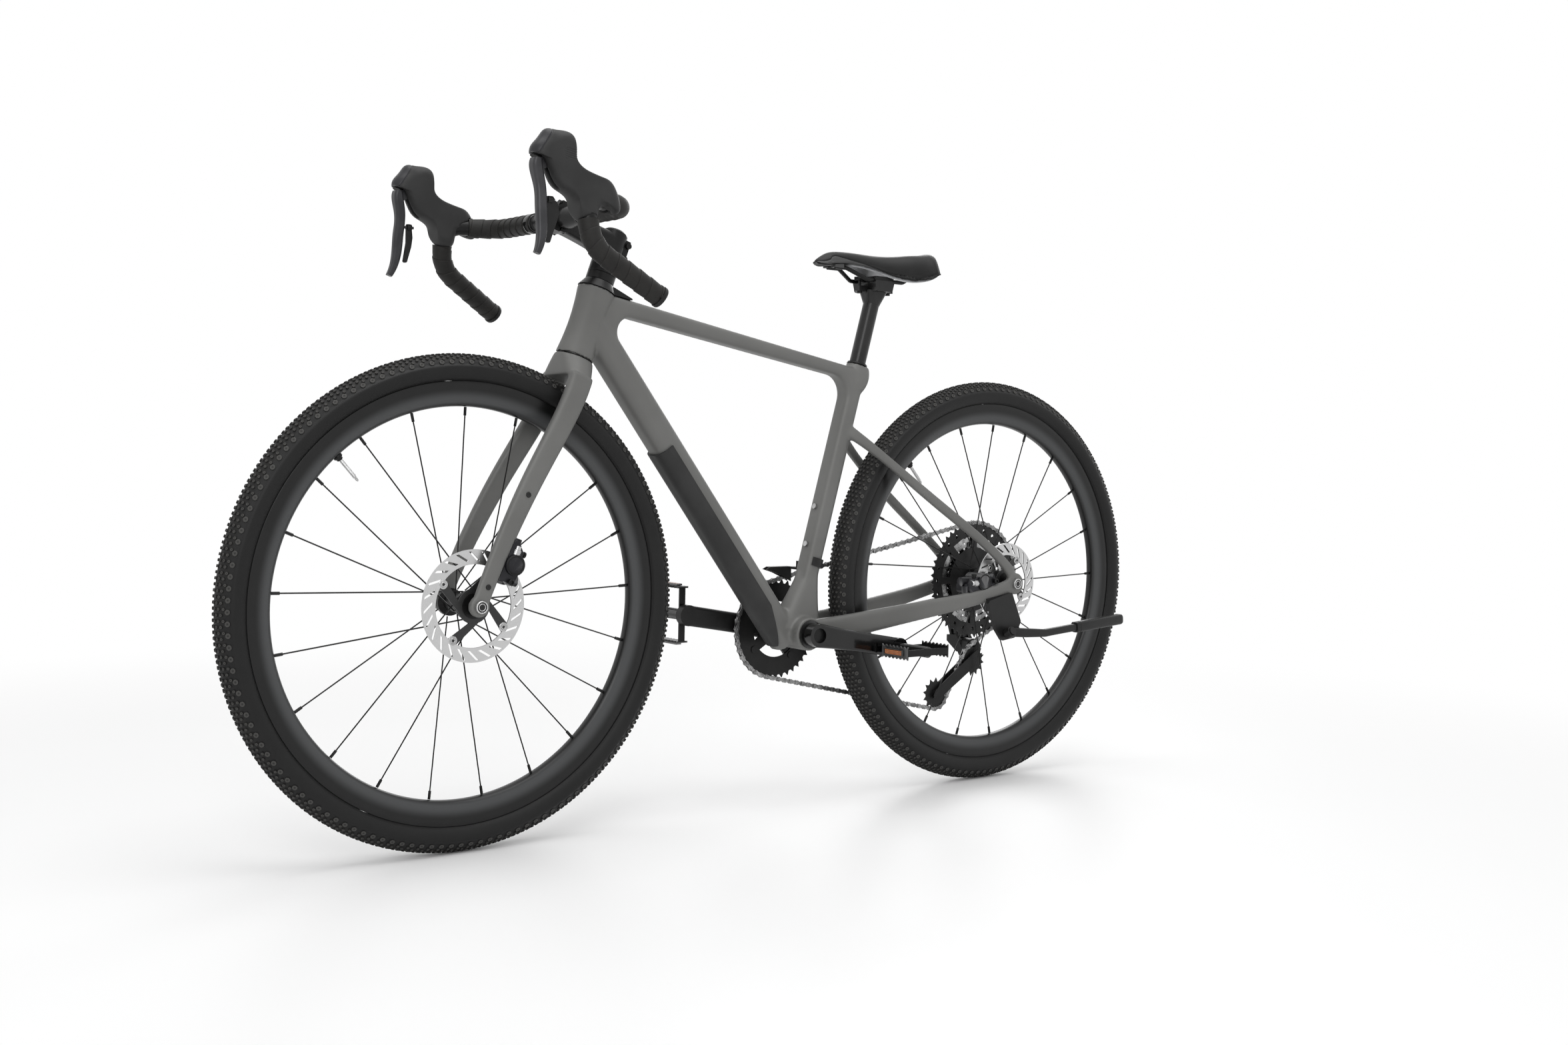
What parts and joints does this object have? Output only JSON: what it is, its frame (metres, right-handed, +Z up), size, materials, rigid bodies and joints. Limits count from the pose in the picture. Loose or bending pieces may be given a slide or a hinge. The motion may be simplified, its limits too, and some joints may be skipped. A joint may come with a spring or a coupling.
{
  "type": "gravel bike",
  "caption": "Drop-bar gravel bicycle with a one-piece carbon frame, disc brakes, a single chainring, a wide-range cassette, knobbly tyres and a folding kickstand.",
  "frame": {"origin": "on the ground, half way between the axles, in the bicycle's middle plane", "axes": "+X forward, +Y to the rider's left, +Z up"},
  "size_m": [1.7499, 0.5016, 0.9991],
  "materials": {
    "carbon": "matt",
    "black_satin": "satin",
    "black_plastic": "matt",
    "black_gloss": "gloss",
    "rubber": "matt",
    "tyre": "matt",
    "steel": "brushed",
    "aluminium": "satin",
    "tape": "matt",
    "cushion": "satin"
  },
  "bodies": {
    "frame": {"frame": "carbon", "down_tube_guard": "black_plastic", "frame_bearings": "steel", "headset_cover": "black_plastic", "rear_axle": "aluminium", "derailleur_hanger": "black_satin", "derailleur_base": "black_satin", "rear_caliper": "black_satin", "chain_guide": "black_plastic", "frame_bolts": "steel", "kickstand_bracket": "black_satin", "chain": "steel", "seat_clamp": "black_plastic", "seatpost": "black_satin", "saddle_clamp": "black_satin", "saddle_rails": "black_satin", "saddle_shell": "black_plastic", "saddle_cover": "cushion"},
    "steering": {"fork": "carbon", "front_axle": "aluminium", "front_caliper": "black_satin", "steerer_spacers": "black_satin", "stem": "black_satin", "stem_faceplate": "black_satin", "stem_hardware": "steel", "handlebar": "black_satin", "bar_tape": "tape", "bar_plugs": "black_plastic", "lever_body_left": "rubber", "lever_body_right": "rubber"},
    "brake_lever_left": {"brake_lever_left": "black_satin"},
    "brake_lever_right": {"brake_lever_right": "black_satin"},
    "shift_paddle_left": {"shift_paddle_left": "black_plastic"},
    "shift_paddle_right": {"shift_paddle_right": "black_plastic"},
    "front_wheel": {"front_tyre": "tyre", "front_rim": "black_satin", "front_spokes": "black_satin", "front_hub": "black_satin", "front_rotor": "steel"},
    "rear_wheel": {"rear_tyre": "tyre", "rear_rim": "black_satin", "rear_spokes": "black_satin", "rear_hub": "black_satin", "rear_rotor": "steel"},
    "cassette": {"freehub": "aluminium", "sprockets": "aluminium"},
    "crank": {"crank_spindle": "steel", "crank_arm_left": "black_gloss", "crank_arm_right": "black_satin", "chainring": "black_satin", "chainring_bolts": "steel"},
    "pedal_left": {"pedal_left": "black_plastic"},
    "pedal_right": {"pedal_right": "black_plastic"},
    "derailleur_outer_link": {"derailleur_outer_link": "black_satin"},
    "derailleur_inner_link": {"derailleur_inner_link": "black_satin"},
    "derailleur_body": {"derailleur_body": "black_satin"},
    "derailleur_cage": {"derailleur_cage": "black_satin"},
    "guide_pulley": {"guide_pulley": "black_plastic"},
    "tension_pulley": {"tension_pulley": "black_plastic"},
    "kickstand": {"kickstand_leg": "black_satin"}
  },
  "joints": [
    {"name": "steering", "type": "hinge", "parent": "frame", "child": "steering", "pos_m": [0.3203, 0, 0.76332], "axis": [-0.342, 0, 0.9397], "range_deg": [-60, 60]},
    {"name": "front_wheel_spin", "type": "hinge", "parent": "steering", "child": "front_wheel", "pos_m": [0.52, 0, 0.355], "axis": [0, 1, 0], "continuous": true},
    {"name": "rear_wheel_spin", "type": "hinge", "parent": "frame", "child": "rear_wheel", "pos_m": [-0.52, 0, 0.355], "axis": [0, 1, 0], "continuous": true},
    {"name": "crank_spin", "type": "hinge", "parent": "frame", "child": "crank", "pos_m": [-0.088, 0, 0.284], "axis": [0, 1, 0], "continuous": true, "deforming": ["chain"]},
    {"name": "pedal_left_spin", "type": "hinge", "parent": "crank", "child": "pedal_left", "pos_m": [-0.25559, 0.1, 0.2555], "axis": [0, 1, 0], "continuous": true},
    {"name": "pedal_right_spin", "type": "hinge", "parent": "crank", "child": "pedal_right", "pos_m": [0.0796, -0.1, 0.3125], "axis": [0, 1, 0], "continuous": true},
    {"name": "cassette_spin", "type": "hinge", "parent": "frame", "child": "cassette", "pos_m": [-0.52, -0.045, 0.355], "axis": [0, 1, 0], "continuous": true, "deforming": ["chain"]},
    {"name": "derailleur_swing", "type": "hinge", "parent": "frame", "child": "derailleur_outer_link", "pos_m": [-0.531, -0.0996, 0.305], "axis": [-1, 0, 0], "range_deg": [0, 36], "deforming": ["chain"]},
    {"name": "derailleur_inner_swing", "type": "hinge", "parent": "frame", "child": "derailleur_inner_link", "pos_m": [-0.531, -0.0866, 0.307], "axis": [-1, 0, 0], "range_deg": [0, 36], "deforming": ["chain"]},
    {"name": "derailleur_body_swing", "type": "hinge", "parent": "derailleur_outer_link", "child": "derailleur_body", "pos_m": [-0.531, -0.0776, 0.245], "axis": [-1, 0, 0], "range_deg": [-36, 0], "deforming": ["chain"]},
    {"name": "cage_swing", "type": "hinge", "parent": "derailleur_body", "child": "derailleur_cage", "pos_m": [-0.532, -0.04, 0.227], "axis": [0, 1, 0], "range_deg": [0, 50], "deforming": ["chain"]},
    {"name": "guide_pulley_spin", "type": "hinge", "parent": "derailleur_cage", "child": "guide_pulley", "pos_m": [-0.522, -0.025, 0.209], "axis": [0, 1, 0], "continuous": true, "deforming": ["chain"]},
    {"name": "tension_pulley_spin", "type": "hinge", "parent": "derailleur_cage", "child": "tension_pulley", "pos_m": [-0.43188, -0.025, 0.15319], "axis": [0, 1, 0], "continuous": true, "deforming": ["chain"]},
    {"name": "brake_left", "type": "hinge", "parent": "steering", "child": "brake_lever_left", "pos_m": [0.508, 0.206, 0.95696], "axis": [0, 1, 0], "range_deg": [0, 22], "stiffness_Nm_per_rad": 1, "springref_deg": -17.19},
    {"name": "brake_right", "type": "hinge", "parent": "steering", "child": "brake_lever_right", "pos_m": [0.508, -0.206, 0.95696], "axis": [0, 1, 0], "range_deg": [0, 22], "stiffness_Nm_per_rad": 1, "springref_deg": -17.19},
    {"name": "shift_left", "type": "hinge", "parent": "brake_lever_left", "child": "shift_paddle_left", "pos_m": [0.506, 0.208, 0.90596], "axis": [-1, 0, 0], "range_deg": [0, 12], "stiffness_Nm_per_rad": 0.5, "springref_deg": -17.19},
    {"name": "shift_right", "type": "hinge", "parent": "brake_lever_right", "child": "shift_paddle_right", "pos_m": [0.506, -0.208, 0.90596], "axis": [1, 0, 0], "range_deg": [0, 12], "stiffness_Nm_per_rad": 0.5, "springref_deg": -17.19},
    {"name": "kickstand_swing", "type": "hinge", "parent": "frame", "child": "kickstand", "pos_m": [-0.49, 0.099, 0.272], "axis": [0, -0.8988, -0.4384], "range_deg": [0, 90]}
  ],
  "couplings": [
    {"joint": "cassette_spin", "follows": "crank_spin", "ratio": 0.78431},
    {"joint": "guide_pulley_spin", "follows": "crank_spin", "ratio": -3.0769},
    {"joint": "tension_pulley_spin", "follows": "crank_spin", "ratio": 3.0769},
    {"joint": "derailleur_inner_swing", "follows": "derailleur_swing", "ratio": 1},
    {"joint": "derailleur_body_swing", "follows": "derailleur_swing", "ratio": -1}
  ]
}
